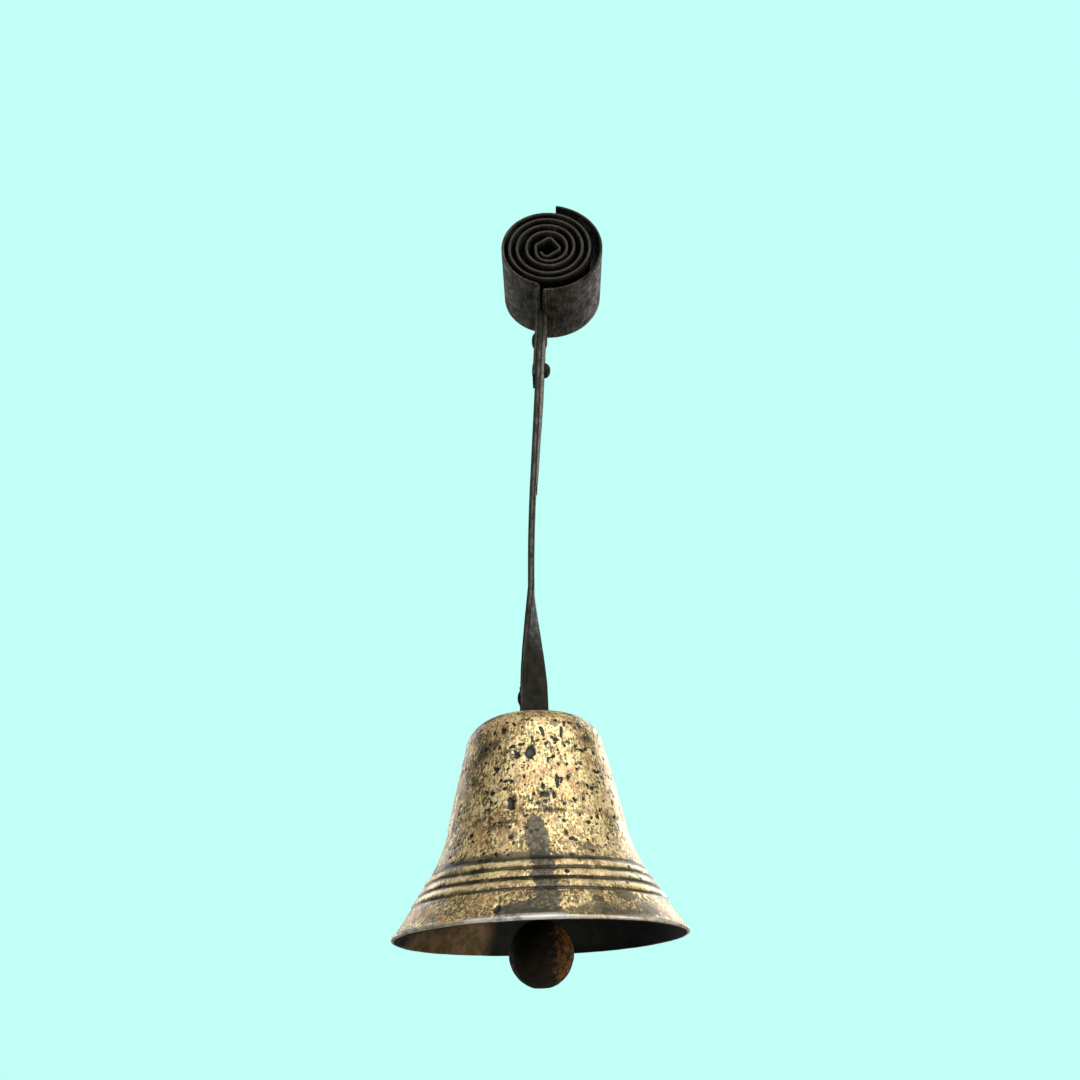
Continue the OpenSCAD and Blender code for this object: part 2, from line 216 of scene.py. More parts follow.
class Shader:
    """A material's nodes. Sizes are in millimetres, measured on the object itself."""

    def __init__(self, name, metallic, specular=0.5):
        self.material = bpy.data.materials.new(name)
        self.material.use_nodes = True
        self.nodes = self.material.node_tree.nodes
        self.links = self.material.node_tree.links
        self.surface = self.nodes["Principled BSDF"]
        self.surface.inputs["Metallic"].default_value = metallic
        self.surface.inputs["Specular IOR Level"].default_value = specular
        self.place = self.nodes.new("ShaderNodeTexCoord").outputs["Object"]

    def put(self, socket, value):
        """Links another node's output to a socket, or sets the socket to a number or colour."""
        if isinstance(value, bpy.types.NodeSocket):
            self.links.new(value, socket)
        elif socket.type == "RGBA":
            socket.default_value = (*value, 1)
        else:
            socket.default_value = value

    def at(self, stretch):
        """The place in millimetres, squeezed so that patterns stretch by this much along each axis."""
        node = self.nodes.new("ShaderNodeVectorMath")
        node.operation = "MULTIPLY"
        self.put(node.inputs[0], self.place)
        node.inputs[1].default_value = [1 / METRE / s for s in stretch]
        return node.outputs[0]

    def cloud(self, size, detail=3, rough=0.55, stretch=(1, 1, 1), bend=0.0):
        """Soft noise, about 0.5 on average, with features of this size."""
        node = self.nodes.new("ShaderNodeTexNoise")
        self.put(node.inputs["Vector"], self.at([size * s for s in stretch]))
        node.inputs["Scale"].default_value = 1
        node.inputs["Detail"].default_value = detail
        node.inputs["Roughness"].default_value = rough
        node.inputs["Distortion"].default_value = bend
        return node.outputs[0]

    def cells(self, size, output="Distance"):
        """Distance to the middle of the nearest cell, in cells, or the cell's own random colour."""
        node = self.nodes.new("ShaderNodeTexVoronoi")
        self.put(node.inputs["Vector"], self.at([size] * 3))
        node.inputs["Scale"].default_value = 1
        return node.outputs[output]

    def ramp(self, value, start, end, low=0.0, high=1.0):
        """low before start, high after end, and a smooth step between."""
        node = self.nodes.new("ShaderNodeMapRange")
        node.interpolation_type = "SMOOTHSTEP"
        self.put(node.inputs["Value"], value)
        for name, number in (("From Min", start), ("From Max", end), ("To Min", low), ("To Max", high)):
            node.inputs[name].default_value = number
        return node.outputs[0]

    def math(self, operation, a, b=0.0, c=0.0, clamp=True):
        """A sum with up to three values, kept from 0 to 1 if clamp is set."""
        node = self.nodes.new("ShaderNodeMath")
        node.operation = operation
        node.use_clamp = clamp
        for socket, value in zip(node.inputs, (a, b, c)):
            self.put(socket, value)
        return node.outputs[0]

    def total(self, *terms, start=0.5):
        """start, and each value's distance from 0.5 times its weight. terms are (value, weight)."""
        for value, weight in terms:
            part = self.math("MULTIPLY_ADD", value, weight, -weight / 2, clamp=False)
            start = self.math("ADD", part, start, clamp=False)
        return start

    def mix(self, share, a, b):
        """Colour a, with this share of colour b over it."""
        node = self.nodes.new("ShaderNodeMix")
        node.data_type = "RGBA"
        self.put(node.inputs[0], share)
        self.put(node.inputs[6], a)
        self.put(node.inputs[7], b)
        return node.outputs[2]

    def layer(self, name):
        """A value that the mesh holds at each of its points."""
        node = self.nodes.new("ShaderNodeAttribute")
        node.attribute_name = name
        return node.outputs["Fac"]

    def bump(self, height, depth, strength, under=None):
        """Relief of this depth in millimetres, on top of the relief under it."""
        node = self.nodes.new("ShaderNodeBump")
        node.inputs["Strength"].default_value = strength
        node.inputs["Distance"].default_value = depth * METRE
        self.put(node.inputs["Height"], height)
        if under is not None:
            self.put(node.inputs["Normal"], under)
        return node.outputs[0]

    def finish(self, colour, roughness, normal=None):
        """Joins colour, roughness and relief to the surface, and gives the material."""
        self.put(self.surface.inputs["Base Color"], colour)
        self.put(self.surface.inputs["Roughness"], roughness)
        if normal is not None:
            self.put(self.surface.inputs["Normal"], normal)
        return self.material


PALE_BRASS, PIT_BLACK = (0.97, 0.81, 0.44), (0.009, 0.009, 0.006)


def brass_tones(s, grain, fine, patch):
    """Brown to pale brass in grains and plumb streaks, with peach and olive patches."""
    brown, olive, gold = (0.062, 0.043, 0.018), (0.240, 0.195, 0.086), (0.610, 0.440, 0.175)
    streak = s.cloud(0.65, 2, 0.6, stretch=(1, 1, 6))
    blotch = s.cloud(3.2, 3, 0.6, bend=0.3)
    # the tarnish layer darkens the tone: tarnished patches, and painted shade at the left side and the
    # foot
    tone = s.total((grain, 2.8), (streak, 2.0), (fine, 1.0), (patch, 1.6), (blotch, 1.0),
                   (s.layer("tarnish_and_shade"), -0.26), start=0.56)
    colour = s.mix(s.ramp(tone, 0.22, 0.40), brown, olive)
    colour = s.mix(s.ramp(tone, 0.36, 0.56), colour, gold)
    colour = s.mix(s.ramp(tone, 0.58, 0.86), colour, PALE_BRASS)
    colour = s.mix(s.ramp(s.cloud(6, 4, bend=0.6), 0.46, 0.62, 0, 0.50), colour, (0.650, 0.385, 0.195))
    return s.mix(s.ramp(s.cloud(4.5, 4, 0.65), 0.54, 0.68, 0, 0.55), colour, (0.260, 0.255, 0.140))


def brass_specks(s, colour, shape):
    """One small ragged dot in some of the cells, crowded in patches."""
    crowd = s.ramp(s.cloud(9, 2), 0.34, 0.60, 0.22, 0.72)
    for size, reach in ((2.3, 0.27), (1.3, 0.34)):
        chance = s.nodes.new("ShaderNodeSeparateColor")
        s.put(chance.inputs[0], s.cells(size, "Color"))
        inside = s.math("LESS_THAN", chance.outputs[0], crowd)
        ragged = s.total((shape, 0.9), start=s.cells(size))
        dot = s.math("MULTIPLY", s.ramp(ragged, reach, reach * 0.6), inside)
        speck = s.mix(s.ramp(chance.outputs[1], 0.2, 0.5), PIT_BLACK, (0.050, 0.020, 0.009))
        colour = s.mix(s.math("MULTIPLY", dot, 0.92), colour, speck)
    return colour


def brass_dirt_and_reflection(s, colour, grain):
    """Blots, soot, and a painted dark reflection down the front, with ragged borders. Also gives where
    the painted reflection lies.
    """
    blot = s.ramp(s.total((s.cloud(1.7, 4, 0.7), 1.3), start=s.layer("blot")), 0.46, 0.72)
    colour = s.mix(s.math("MULTIPLY", blot, 0.78), colour, (0.062, 0.050, 0.034))
    # painted reflection: a dark grey-brown plumb band down the bell's front
    painted_reflection = s.ramp(s.total((s.cloud(3.4, 4, 0.65), 1.9), start=s.layer("painted_reflection")), 0.40, 0.62)
    reflection_tone = s.mix(s.ramp(grain, 0.38, 0.62), (0.048, 0.048, 0.034), (0.115, 0.098, 0.074))
    colour = s.mix(s.math("MULTIPLY", painted_reflection, 0.90), colour, reflection_tone)
    soot = s.ramp(s.total((s.cloud(1.8, 4, 0.7), 1.5), start=s.layer("soot")), 0.40, 0.62)
    return s.mix(s.math("MULTIPLY", soot, 0.88), colour, (0.040, 0.036, 0.022)), painted_reflection


def brass_beads(s, colour, patch, painted_reflection):
    """Dark grooves at the beads' edges, a little uneven, and a painted highlight on the crests between
    them, kept off the painted reflection.
    """
    height = s.total((s.cloud(5, 2), 0.9), (s.cloud(0.9, 2), 0.7), start=s.layer("height"))
    for edge, width in zip(BEAD_EDGES, (0.55, 0.68, 0.66, 0.80)):
        away = s.math("ABSOLUTE", s.math("SUBTRACT", height, edge, clamp=False))
        line = s.ramp(away, width * 1.35, width * 0.6)
        broken = s.math("MULTIPLY", line, s.ramp(s.cloud(3, 3), 0.30, 0.42, 0.65, 0.98))
        colour = s.mix(broken, colour, (0.008, 0.007, 0.004))
    # painted highlight along the middle of each bead
    for lower, upper in zip(BEAD_EDGES, BEAD_EDGES[1:]):
        away = s.math("ABSOLUTE", s.math("SUBTRACT", height, (lower + upper) / 2 + 0.2, clamp=False))
        crest_highlight = s.math("MULTIPLY", s.ramp(away, 1.1, 0.3), s.ramp(patch, 0.36, 0.56, 0.1, 0.6))
        colour = s.mix(s.math("SUBTRACT", crest_highlight, painted_reflection), colour, PALE_BRASS)
    return colour


def brass_inside(s):
    """Painted shade: the inside nearly black. Painted light on the inner left wall, where the layer
    called warm says so: pinkish brown with rusty patches.
    """
    inner = s.mix(s.ramp(s.cloud(6, 4), 0.42, 0.60), (0.007, 0.006, 0.002), (0.002, 0.003, 0.001))
    warm = s.mix(s.ramp(s.cloud(4, 4, 0.65), 0.42, 0.60), (0.240, 0.150, 0.090), (0.115, 0.086, 0.018))
    warm = s.mix(s.ramp(s.cloud(2.4, 4, 0.7), 0.54, 0.66), warm, (0.34, 0.100, 0.020))
    return s.mix(s.layer("warm"), inner, warm)


def brass_material():
    """Aged cast brass, with pits, a pale lip with a painted highlight and an inside darkened as painted
    shade, where its layers say so.
    """
    s = Shader("aged_brass", metallic=0.4)
    grain, fine = s.cloud(1.15, 4, 0.72), s.cloud(0.45, 2, 0.6)
    patch, shape = s.cloud(11, 4, 0.6, bend=0.4), s.cloud(0.6, 2, 0.7)
    colour = brass_specks(s, brass_tones(s, grain, fine, patch), shape)
    colour, painted_reflection = brass_dirt_and_reflection(s, colour, grain)
    colour = brass_beads(s, colour, patch, painted_reflection)
    pit = s.ramp(s.total((shape, 0.45), (fine, 0.3), start=s.layer("pit")), 0.36, 0.46)
    deepest = s.math("MULTIPLY", s.ramp(s.layer("pit"), 0.60, 0.85), s.ramp(grain, 0.40, 0.60))
    colour = s.mix(pit, colour, s.mix(deepest, PIT_BLACK, (0.034, 0.046, 0.038)))
    # the lip: pale worn metal with a painted highlight on it
    lip = s.math("MULTIPLY", s.layer("lip"), s.ramp(s.cloud(4.2, 4, 0.7), 0.36, 0.56, 0.35, 1.0))
    colour = s.mix(lip, colour, (1.0, 0.97, 0.90))
    # the inside: painted shade, nearly black, with painted light on its left wall
    colour = s.mix(s.layer("inside"), colour, brass_inside(s))
    rough = s.total((s.cloud(6, 4), 0.45), (s.layer("painted_reflection"), 0.15), (s.layer("inside"), 0.3), start=0.66)
    relief = s.bump(grain, 0.10, 0.7)
    relief = s.bump(fine, 0.05, 0.6, under=relief)
    return s.finish(colour, s.math("MAXIMUM", rough, 0.34), relief)


def iron_material(name, face, worn, rust_share):
    """Dark forged iron: scale of two tones, rust in places, worn edges where the layer called edge
    says so, and a painted highlight where the layer called bright does."""
    s = Shader(name, metallic=0.1, specular=0.16)
    colour = s.mix(s.ramp(s.cloud(5, 4), 0.40, 0.64), face, [c * 0.5 for c in face])
    colour = s.mix(s.ramp(s.cloud(0.9, 4, 0.7), 0.52, 0.72, 0, 0.55), colour, worn)
    colour = s.mix(s.ramp(s.cloud(4, 4, 0.65), 0.62 - 0.2 * rust_share, 0.80, 0, rust_share), colour,
                   (0.12, 0.050, 0.018))
    ragged = s.ramp(s.cloud(1.6, 4, 0.7, stretch=(1, 1, 3)), 0.36, 0.62, 0.1, 1.0)
    edge = s.math("MULTIPLY", s.math("MULTIPLY", s.layer("edge"), ragged), 0.8)
    colour = s.mix(edge, colour, worn)
    colour = s.mix(s.math("MULTIPLY", s.layer("bright"), ragged), colour, (0.140, 0.145, 0.130))
    rough = s.ramp(s.cloud(2.5, 4), 0.3, 0.7, 0.58, 0.86)
    relief = s.bump(s.cloud(1.6, 5, 0.6), 0.14, 0.6)
    relief = s.bump(s.cloud(0.4, 3, 0.6), 0.05, 0.6, under=relief)
    return s.finish(colour, rough, relief)


def spring_material():
    """Weathered spring steel: grey-brown skin with dark runs across the strip, rust and a few
    yellowish spots, lighter edges, a pale edge where the layer called bright says so, and painted shade,
    nearly black, inside the coil and behind the leaf."""
    s = Shader("weathered_spring", metallic=0.1, specular=0.16)
    base, dark, dust = (0.054, 0.048, 0.036), (0.010, 0.009, 0.007), (0.140, 0.130, 0.100)
    grain = s.cloud(0.8, 4, 0.75)
    runs = s.cloud(1.4, 4, 0.7, stretch=(1, 4, 1))
    tone = s.total((grain, 1.0), (runs, 0.9), (s.cloud(7, 3), 0.9))
    colour = s.mix(s.ramp(tone, 0.34, 0.52), dark, base)
    colour = s.mix(s.ramp(tone, 0.54, 0.82), colour, dust)
    colour = s.mix(s.ramp(s.cloud(3.4, 4, 0.7), 0.56, 0.70, 0, 0.65), colour, (0.070, 0.033, 0.015))
    colour = s.mix(s.ramp(s.cloud(5.2, 3, 0.6), 0.64, 0.72, 0, 0.75), colour, (0.100, 0.088, 0.018))
    ragged = s.ramp(s.cloud(1.3, 4, 0.7), 0.34, 0.60, 0.25, 1.0)
    edge = s.math("MULTIPLY", s.layer("edge"), ragged)
    colour = s.mix(edge, colour, (0.044, 0.041, 0.040))
    colour = s.mix(s.math("MULTIPLY", edge, s.layer("bright")), colour, (0.22, 0.21, 0.185))
    # painted shade: nearly black between the coil's inner turns and on the leaf's face towards the coil
    colour = s.mix(s.layer("painted_shade"), colour, (0.004, 0.004, 0.003))
    rough = s.ramp(s.cloud(3, 4), 0.3, 0.7, 0.60, 0.88)
    relief = s.bump(s.cloud(2.0, 5, 0.6), 0.18, 0.7)
    relief = s.bump(s.cloud(0.45, 3, 0.6), 0.06, 0.6, under=relief)
    return s.finish(colour, rough, relief)


def rust_material():
    """Brown-black iron with bright orange rust in blotches and fine pits, most of it where the layer
    called rust says so; on the ball that layer is its right side, rust together with painted light."""
    s = Shader("rusted_iron", metallic=0.1, specular=0.2)
    colour = s.mix(s.ramp(s.cloud(4.5, 4, 0.6), 0.40, 0.62), (0.009, 0.008, 0.004), (0.022, 0.014, 0.005))
    blotch = s.total((s.cloud(2.6, 5, 0.7), 1.4), (s.layer("rust"), 0.46), start=0.42)
    colour = s.mix(s.ramp(blotch, 0.50, 0.66), colour, (0.090, 0.036, 0.010))
    colour = s.mix(s.ramp(blotch, 0.62, 0.84), colour, (0.22, 0.098, 0.018))
    spark = s.total((s.cloud(0.9, 4, 0.7), 1.0), (s.layer("rust"), 0.30), start=0.40)
    colour = s.mix(s.ramp(spark, 0.60, 0.72), colour, (0.38, 0.215, 0.065))
    colour = s.mix(s.ramp(s.cloud(0.8, 4, 0.7), 0.42, 0.32, 0, 0.9), colour, (0.006, 0.005, 0.003))
    rough = s.ramp(s.cloud(2, 4), 0.3, 0.7, 0.60, 0.88)
    relief = s.bump(s.cloud(1.3, 5, 0.7), 0.25, 0.7)
    return s.finish(colour, rough, relief)


def leather_material():
    """Old dark leather, creased and dusty."""
    s = Shader("old_leather", metallic=0.0, specular=0.3)
    colour = s.mix(s.ramp(s.cloud(2.5, 4), 0.4, 0.65), (0.060, 0.032, 0.018), (0.026, 0.015, 0.010))
    colour = s.mix(s.ramp(s.cells(0.7), 0.05, 0.5, 0.5, 0.0), colour, (0.12, 0.085, 0.060))
    rough = s.ramp(s.cloud(1.5, 3), 0.3, 0.7, 0.65, 0.85)
    return s.finish(colour, rough, s.bump(s.cells(0.7), 0.10, 0.7))


def floor_material():
    """Plain grey floor with the faintest mottling."""
    s = Shader("grey_floor", metallic=0.0, specular=0.2)
    colour = s.mix(s.cloud(400, 2), (0.50, 0.53, 0.53), (0.53, 0.56, 0.56))
    return s.finish(colour, 0.9)


BEAD_EDGES = (10.0, 13.5, 16.9, 20.3)  # heights of the valleys beside the bell's beads

BRASS = brass_material()
SPRING = spring_material()
IRON = iron_material("forged_iron", (0.022, 0.022, 0.015), (0.030, 0.031, 0.026), 0.25)
DARK_IRON = iron_material("dark_iron", (0.014, 0.012, 0.009), (0.050, 0.044, 0.035), 0.45)
RUST = rust_material()
LEATHER = leather_material()

# ---- the arm's line

LAP_Z, LAP_X = -48.2, -5.6  # where spring, arm and leaf are riveted together
LEAN_A = 4.15  # degrees that the arm leans at the coil
LEAN = math.tan(math.radians(LEAN_A))
LEAN_COS = math.cos(math.radians(LEAN_A))
ARM_T, STRIP_T = 2.4, 1.2  # thicknesses of the arm and of the spring strips
GAP = 0.03  # play between faces that lie together in the CAD
DRAWN_GAP = 0.012  # the same play between the arm and the strips here
BEND_LEN = 60  # from where the arm is plumb to where it leans fully
PLUMB_X = BELL_X + 0.5  # the arm hangs a little beside the bell's axis
BEND_MID = LAP_Z - (LAP_X - PLUMB_X) / LEAN
BEND_LO, BEND_HI = BEND_MID - BEND_LEN / 2, BEND_MID + BEND_LEN / 2


def arm_x(z):
    """The arm's centreline: plumb at the bell, leaning at the coil, one even bend between."""
    bend = PLUMB_X + LEAN * (z - BEND_LO) ** 2 / (2 * BEND_LEN)
    return np.where(z <= BEND_LO, PLUMB_X, np.where(z >= BEND_HI, LAP_X + LEAN * (z - LAP_Z), bend))


TWIST = 58  # degrees, between these two levels
TWIST_HI, TWIST_LO = up(128), up(89.5)
TWIST_EASE = 1.12  # above 1, the twist starts slowly at its top
ARM_BOTTOM, ARM_TOP = low("arm_strap")[2], high("arm_strap")[2]


def twist_at(z):
    """Degrees that the strap is turned by at a level: none above the twist, all below it."""
    return TWIST * np.clip((TWIST_HI - z) / (TWIST_HI - TWIST_LO), 0, 1) ** TWIST_EASE


# ---- strips of spring steel

TAPER_HI, TAPER_LO = -23.9, -25.4  # the strips narrow between these levels
STRIP_CORNER, STRIP_COLUMNS, STRIP_ROUGH = 0.24, 22, 0.05
PATH_STEP = 0.55


def strip_half(z):
    """Half the strip's width: full at the coil, narrow down the arm, with softened corners."""
    return STRIP_HALF + (ARM_HALF - STRIP_HALF) * smooth(-z, -TAPER_HI, -TAPER_LO)


def strip_section(thickness, half):
    """Outline of a rounded strip, once round: (place in its thickness, place in its width)."""
    corner = min(STRIP_CORNER, thickness * 0.42)
    a, b = thickness / 2 - corner, half - corner
    quarter = np.radians([0, 30, 60, 90])
    corners = [[(side * (a + corner * math.cos(q)), end * (b + corner * math.sin(q))) for q in angles]
               for side, end, angles in ((1, 1, quarter), (-1, 1, quarter[::-1]),
                                         (-1, -1, quarter), (1, -1, quarter[::-1]))]
    left = [(-thickness / 2, y) for y in np.linspace(b, -b, STRIP_COLUMNS + 1)[1:-1]]
    right = [(thickness / 2, y) for y in np.linspace(-b, b, STRIP_COLUMNS + 1)[1:-1]]
    return np.array(corners[0] + corners[1] + left + corners[2] + corners[3] + right)


def strip(path, thickness, half, seed):
    """Points and faces of a rounded strip that follows a path in X and Z, and how near each point is
    to the strip's edges. thickness and half are one number for each point of the path. The faces
    are uneven, but not where a tail lies against the arm."""
    tangent = np.gradient(path, axis=0)
    tangent /= np.linalg.norm(tangent, axis=1)[:, None]
    normal = np.stack([-tangent[:, 1], tangent[:, 0]], 1)
    rings, edges, sides = [], [], []
    for spot, across, t, w in zip(path, normal, thickness, half):
        section = strip_section(t, w)
        line = spot + across * section[:, :1]
        rings.append(np.stack([line[:, 0], section[:, 1], line[:, 1]], 1))
        edges.append(smooth(np.abs(section[:, 1]), w - 0.9, w - 0.25))
        sides.append(np.sign(section[:, 0]))
    points, faces = skin(rings)
    out = np.repeat(np.stack([normal[:, 0], np.zeros(len(path)), normal[:, 1]], 1), len(rings[0]), 0)
    side = np.concatenate(sides)
    against_arm = (side > 0) & (points[:, 2] < TAPER_LO)
    relief = side * np.where(against_arm, 0, STRIP_ROUGH) * fractal(points, 5, 3, seed)
    return points + out * relief[:, None], faces, np.concatenate(edges)


def noise_along(run, size, seed):
    """Noise from 0 to 1 that changes only along a strip."""
    return (1 + noise(np.stack([run, run * 0, run * 0], 1), size, seed)) / 2


EYE_HALF, EYE_TURN, RING_R, PITCH = 3.6, -12, 8.6, 3.3
EYE_SIDE = EYE_HALF + STRIP_T / 2
EYE_CORNER = 1.24  # how far the rounded corners reach, against the sides
EYE_START, SQUARE_END, RINGS_BEGIN = -140, 150, 257  # degrees along the winding
TURNS = 4 * 360
LAST_TURN = 248  # about how many degrees the unfinished outer turn has


def spiral_r(a):
    """Radius of an even spiral at an angle along the winding."""
    return RING_R + PITCH * (a - 360) / 360


def coil_r(a):
    """Radius of the strip's centreline at an angle along the winding: a square with rounded
    corners, then a spiral whose inner turns are drawn in a little."""
    d = (a - EYE_TURN) % 90 - 45
    square = np.minimum(EYE_SIDE / np.cos(np.radians(d)), EYE_SIDE * EYE_CORNER)
    share = smooth(a, SQUARE_END, RINGS_BEGIN)
    drawn_in = 0.85 * np.exp(-((a - 560) / 170) ** 2) + 0.30 * np.exp(-((a - 1640) / 70) ** 2)
    return (1 - share) * square + share * (spiral_r(a) - drawn_in)


BEND_R, KEEPER_BEND_R = 2.2, 1.4  # bends from the round of the coil down into the tails
TAIL_Q = (ARM_T + STRIP_T) / 2 + DRAWN_GAP
TAIL_END = LAP_Z - 11
PINCH_Q = STRIP_T / 2 + 0.45  # tail and leaf close in above the arm's top
PINCH_Z, SPREAD_Z = -24.9, -28.2
LAP_N = LAP_X * LEAN_COS - LAP_Z * math.sin(math.radians(LEAN_A))


def tail_q(z):
    """Distance from the arm's centreline to the centre of a tail of full thickness."""
    spread = np.clip((PINCH_Z - z) / (PINCH_Z - SPREAD_Z), 0, 1)
    return PINCH_Q + (TAIL_Q - PINCH_Q) * spread


def spring_path():
    """The spring's line: square eye, spiral, bend and tail."""
    last = spiral_r(TURNS + LAST_TURN)
    end = TURNS + 360 - LEAN_A - math.degrees(math.acos((LAP_N - PINCH_Q - BEND_R) / (last + BEND_R)))
    turns = np.arange(EYE_START, end, 2.0)
    radii = coil_r(turns)
    coil = np.stack([radii * np.cos(np.radians(turns)), radii * np.sin(np.radians(turns))], 1)
    reach = spiral_r(end) + BEND_R
    centre = (reach * math.cos(math.radians(end)), reach * math.sin(math.radians(end)))
    bend = arc(centre, BEND_R, end - TURNS - 180, -LEAN_A, 12)
    levels = np.array([PINCH_Z, SPREAD_Z, TAIL_END])
    tail = np.stack([arm_x(levels) - tail_q(levels) / LEAN_COS, levels], 1)
    return resample(np.concatenate([coil, bend, tail]), PATH_STEP)


def make_spring():
    """The coil spring: square eye, spiral, bend and tail in one piece, fixed in place."""
    path, run = spring_path()
    in_coil = path[:, 1] >= TAPER_HI
    half = strip_half(path[:, 1]) * np.where(in_coil, 1 - 0.012 * noise_along(run, 22, 3), 1)
    half -= 0.10 * noise_along(run, 5, 4)
    thick = STRIP_T * (1 - 0.12 * noise_along(run, 14, 5))
    points, faces, edge = strip(path, thick, half, 10)
    radius = np.hypot(points[:, 0], points[:, 2])
    outer_turn = smooth(radius, 18.6, 19.4)
    # painted shade on the strip's faces between the inner turns
    painted_shade = smooth(STRIP_HALF - np.abs(points[:, 1]), 1.0, 6) * smooth(-radius, -20.6, -19.6) * 0.9
    build("coil_spring_wound", points, faces, "spring_anchor", "coil_spring", SPRING,
          {"edge": edge * (1 - 0.75 * outer_turn), "painted_shade": painted_shade, "bright": np.zeros(len(points))},
          blend=("spring_anchor", "bell", (0, 0, -0.002), (0, 0, -0.0205)))


KEEPER_R, KEEPER_TIP = 23.4, 79  # radius round the coil, and degrees of the free tip
KEEPER_END = LAP_Z - 64
THIN_FROM, THIN_SHARE = LAP_Z - 20, 0.25  # the leaf's tail is drawn thin towards its end


def leaf_share(z):
    """The leaf's thickness at a level, as a share of its full thickness."""
    return np.where(z > THIN_FROM, 1.0, 1 - (1 - THIN_SHARE) * (THIN_FROM - z) / (THIN_FROM - KEEPER_END))


def keeper_path():
    """The leaf's line: tail, bend and the round outside the coil."""
    z = np.append(np.linspace(KEEPER_END, SPREAD_Z, 60), PINCH_Z)
    q = tail_q(z) - STRIP_T / 2 * (1 - leaf_share(z))
    tail = np.stack([arm_x(z) + q / LEAN_COS, z], 1)
    reach = KEEPER_R + KEEPER_BEND_R
    start = -LEAN_A - math.degrees(math.acos((LAP_N + PINCH_Q + KEEPER_BEND_R) / reach))
    centre = (reach * math.cos(math.radians(start)), reach * math.sin(math.radians(start)))
    bend = arc(centre, KEEPER_BEND_R, 180 - LEAN_A, 180 + start, 12)
    loop = arc((0, 0), KEEPER_R, start + 3, KEEPER_TIP, 80)
    return resample(np.concatenate([tail, bend, loop]), PATH_STEP)


def make_keeper():
    """The leaf outside the coil. Its edges are pale only down the arm, and its face towards the coil is
    darkened as painted shade.
    """
    path, run = keeper_path()
    half = strip_half(path[:, 1]) - 0.22 * noise_along(run, 9, 8)
    thick = STRIP_T * leaf_share(path[:, 1]) * 0.98
    points, faces, edge = strip(path, thick, half, 20)
    radius = np.hypot(points[:, 0], points[:, 2])
    # painted shade on the leaf's face towards the coil
    inner_face = smooth(-radius, -KEEPER_R, -KEEPER_R + 0.3) * (points[:, 2] > TAPER_HI)
    down = smooth(-points[:, 2], -LAP_Z - 9, -LAP_Z - 4)
    build("keeper_leaf_bent", points, faces, "bell", "keeper_leaf", SPRING,
          {"edge": edge * (1 - inner_face) * (0.12 + 0.88 * down), "painted_shade": 0.9 * inner_face,
           "bright": down})


make_spring()
make_keeper()


# ---- the arm strap

WEDGE_T = 2 * (PINCH_Q - STRIP_T / 2 - GAP)  # the arm's top end is drawn out to this thickness
ARM_CORNER = 0.42


def arm_section(half_t, half_w):
    """Outline of the strap, once round: (place in its thickness, place in its width)."""
    quarter = np.radians(np.linspace(0, 90, 5))
    flat = half_w - ARM_CORNER
    section = []
    for side, end, order in ((1, 1, 1), (-1, 1, -1), (-1, -1, 1), (1, -1, -1)):
        for q in quarter[::order]:
            section.append((side * (half_t - min(ARM_CORNER, half_t / 2) * (1 - math.cos(q))),
                            end * (half_w - ARM_CORNER * (1 - math.sin(q)))))
        if order < 0:
            section += [(side * half_t, end * y) for y in np.linspace(flat, -flat, 18)[1:-1]]
        else:
            section += [(side * x, end * half_w) for x in (half_t * 0.3, 0.0, -half_t * 0.3)]
    return np.array(section)


def make_arm():
    """A forged strap: uneven faces, softened corners, a wedge end at the coil and a twist at the bell.
    Its faces are even where a tail covers them."""
    rings, edges, lines = [], [], []
    for z in np.linspace(ARM_BOTTOM, ARM_TOP, 300):
        shrink = 0.30 * (1 - smooth(min(z - ARM_BOTTOM, ARM_TOP - z), 0, 0.7))
        drawn = np.clip((z - SPREAD_Z) / (ARM_TOP - SPREAD_Z), 0, 1)
        half_t = (ARM_T + (WEDGE_T - ARM_T) * drawn) / 2 - shrink * ARM_T / 4
        section = arm_section(half_t, ARM_HALF - shrink)
        angle = -math.radians(float(twist_at(z)))
        x = float(arm_x(z)) + section[:, 0] * math.cos(angle) - section[:, 1] * math.sin(angle)
        y = section[:, 0] * math.sin(angle) + section[:, 1] * math.cos(angle)
        rings.append(np.stack([x, y, np.full(len(x), z)], 1))
        edge = smooth(np.abs(section[:, 1]), ARM_HALF - 0.9, ARM_HALF - 0.3)
        # painted highlight: a pale line down the arm's narrow edge, below the lap
        line = 1 - smooth(np.abs(section[:, 0] - 0.25), 0.1, 0.55)
        edges.append(edge)
        lines.append(edge * line * smooth(-z, -LAP_Z - 8, -LAP_Z + 2))
    points, faces = skin(rings)
    axis = np.stack([arm_x(points[:, 2]), points[:, 1] * 0, points[:, 2]], 1)
    out = points - axis
    out /= np.maximum(np.linalg.norm(out, axis=1), 1e-6)[:, None]
    dents = -0.10 * (1 + fractal(points, 7, 3, 31)) / 2 - 0.05 * (1 + noise(points, 2.2, 35)) / 2
    tail_end = np.where(out[:, 0] < 0, TAIL_END, KEEPER_END)
    covered = (points[:, 2] > tail_end) & (np.abs(points[:, 1]) < ARM_HALF - 0.45)
    points = points + out * np.where(covered, 0, dents)[:, None]
    build("arm_strap_forged", points, faces, "bell", "arm_strap", IRON,
          {"edge": np.concatenate(edges), "bright": np.concatenate(lines)})


make_arm()


# ---- rivets

RIVET_R = 2.1
STACK = ARM_T + 2 * STRIP_T + 4 * GAP  # tail, arm and leaf
TANG_T = 2.4
TANG_STACK = ARM_T + TANG_T + 3 * GAP  # arm and the hanger's tang
HANGER_RIVET_Z = middle("hanger_rivet")[2]


